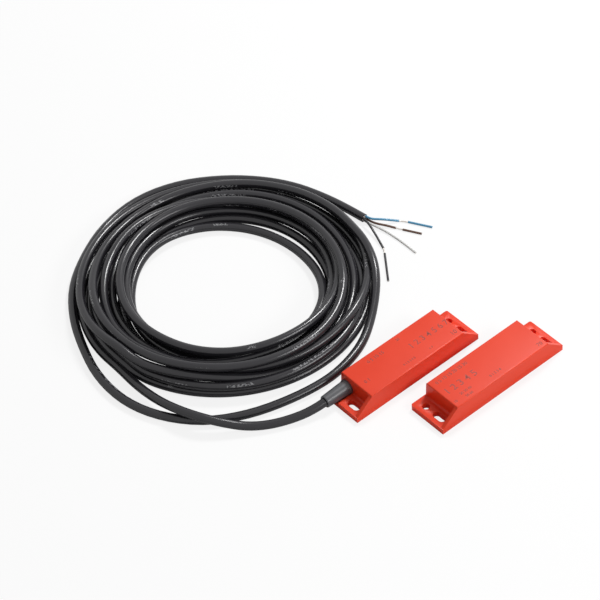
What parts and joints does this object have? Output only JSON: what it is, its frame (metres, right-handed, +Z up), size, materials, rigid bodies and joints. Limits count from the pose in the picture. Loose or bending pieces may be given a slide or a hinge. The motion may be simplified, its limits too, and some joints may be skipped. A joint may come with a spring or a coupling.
{
  "type": "coded magnetic switch",
  "caption": "Cabled coded sensor in a flat rectangular housing with slotted end flanges, its matching magnet housing beside it, and the coiled cable with free stripped cores.",
  "frame": {"origin": "middle of the sensor housing's mounting face", "axes": "+X along the sensor from its cable end, +Y towards the coiled cable, +Z up away from the mounting face"},
  "size_m": [0.2122, 0.2501, 0.0198],
  "materials": {
    "red_plastic": "moulded, satin",
    "potting_resin": "cast resin, flush",
    "board": "fibreglass laminate",
    "resistor_body": "lacquered",
    "solder": "solder, dull",
    "crimp_metal": "plated",
    "boot_grey": "satin",
    "reed_glass": "clear",
    "reed_metal": "plated alloy",
    "cable_jacket": "satin jacket",
    "copper_strands": "bare strands",
    "magnet_metal": "sintered",
    "core_blue": "insulation",
    "core_brown": "insulation",
    "core_white": "insulation",
    "core_black": "insulation"
  },
  "bodies": {
    "sensor": {"switch_housing": "red_plastic", "switch_resin_fill": "potting_resin", "circuit_board": "board", "series_resistor": "resistor_body", "solder_pads": "solder", "cable_crimp": "crimp_metal", "strain_relief_boot": "boot_grey", "reed_glass_1": "reed_glass", "reed_leads_1": "reed_metal", "reed_glass_2": "reed_glass", "reed_leads_2": "reed_metal", "reed_glass_3": "reed_glass", "reed_leads_3": "reed_metal", "inner_core_blue": "core_blue", "inner_core_brown": "core_brown", "inner_core_white": "core_white", "inner_core_black": "core_black", "cable_lead": "cable_jacket", "cable_loop": "cable_jacket", "cable_coil": "cable_jacket", "cable_tail": "cable_jacket", "core_blue": "core_blue", "core_brown": "core_brown", "core_white": "core_white", "core_black": "core_black", "strands_blue": "copper_strands", "strands_brown": "copper_strands", "strands_white": "copper_strands", "strands_black": "copper_strands", "slug_blue": "core_blue", "slug_brown": "core_brown", "slug_black": "core_black"},
    "magnet": {"magnet_housing": "red_plastic", "magnet_resin_fill": "potting_resin", "coding_magnet_1": "magnet_metal", "coding_magnet_2": "magnet_metal", "coding_magnet_3": "magnet_metal"},
    "reed_1": {"reed_blade_1": "reed_metal"},
    "reed_2": {"reed_blade_2": "reed_metal"},
    "reed_3": {"reed_blade_3": "reed_metal"}
  },
  "joints": [
    {"name": "magnet_approach", "type": "slide", "parent": "sensor", "child": "magnet", "axis": [-0.9415, 0.337, 0], "range_m": [-0.03, 0.02885]},
    {"name": "reed_1_closing", "type": "hinge", "parent": "sensor", "child": "reed_1", "pos_m": [0.01155, -0.0056, 0.00658], "axis": [0, 1, 0], "range_deg": [0, 1.3], "stiffness_Nm_per_rad": 0.0001},
    {"name": "reed_2_closing", "type": "hinge", "parent": "sensor", "child": "reed_2", "pos_m": [0.01255, 0, 0.00658], "axis": [0, 1, 0], "range_deg": [0, 1.3], "stiffness_Nm_per_rad": 0.0001},
    {"name": "reed_3_closing", "type": "hinge", "parent": "sensor", "child": "reed_3", "pos_m": [0.01355, 0.0056, 0.00658], "axis": [0, 1, 0], "range_deg": [0, 1.3], "stiffness_Nm_per_rad": 0.0001}
  ]
}
